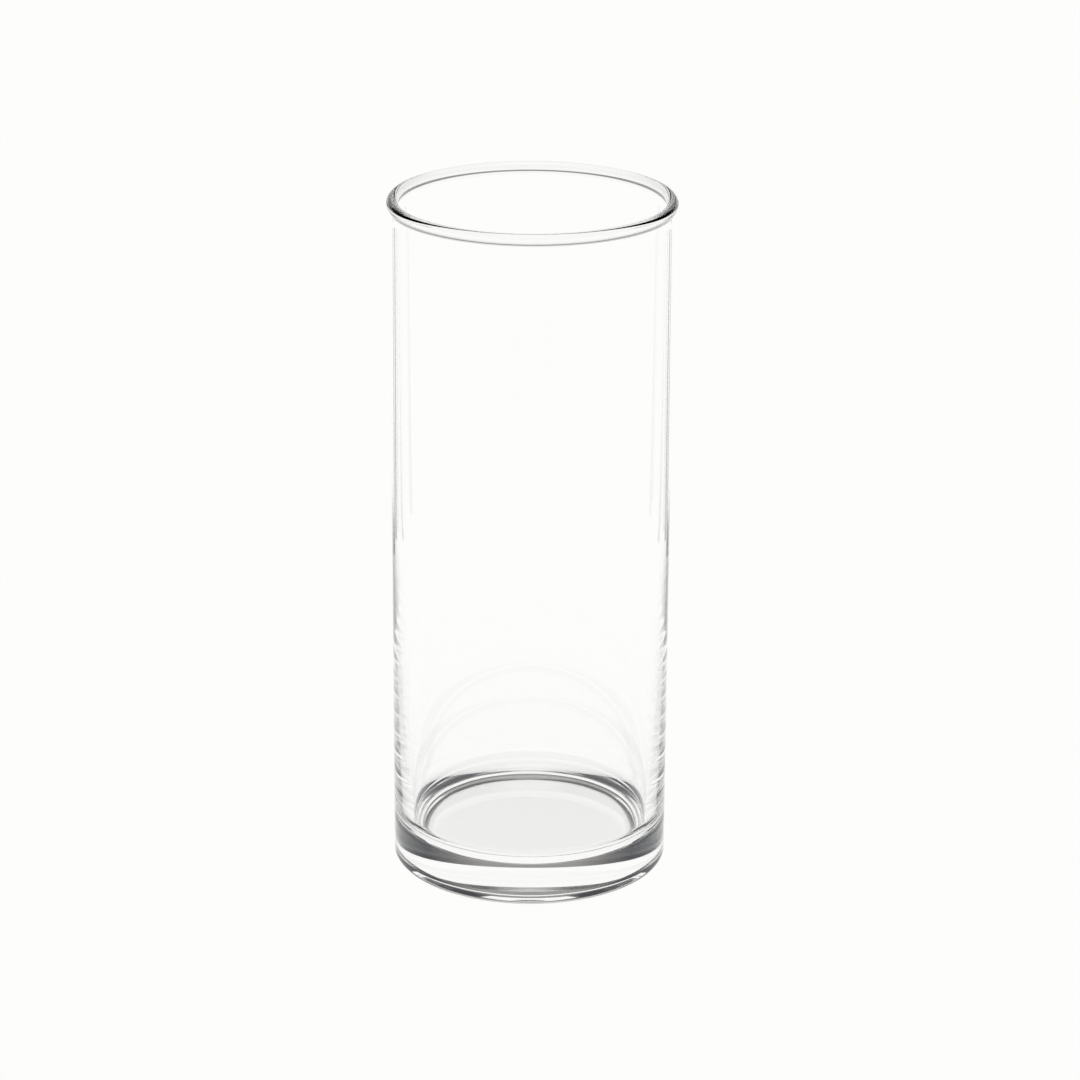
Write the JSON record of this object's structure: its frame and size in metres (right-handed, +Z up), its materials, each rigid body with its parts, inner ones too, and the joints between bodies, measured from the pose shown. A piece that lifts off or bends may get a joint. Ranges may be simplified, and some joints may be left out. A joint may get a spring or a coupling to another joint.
{
  "type": "glass cylinder vase",
  "caption": "Tall straight-walled clear glass cylinder vase with a thick rounded base, filleted inside floor and fire-polished rim bead.",
  "frame": {"origin": "centre of the plane that the vase stands on, on the axis of the cylinder", "axes": "+Z up along the axis, out of the mouth; +X and +Y are any two square directions, because the vase is round"},
  "size_m": [0.104, 0.104, 0.254],
  "materials": {
    "clear_glass": "clear, colourless, fire-polished"
  },
  "bodies": {
    "root": {"glass_vase": "clear_glass"}
  },
  "joints": []
}
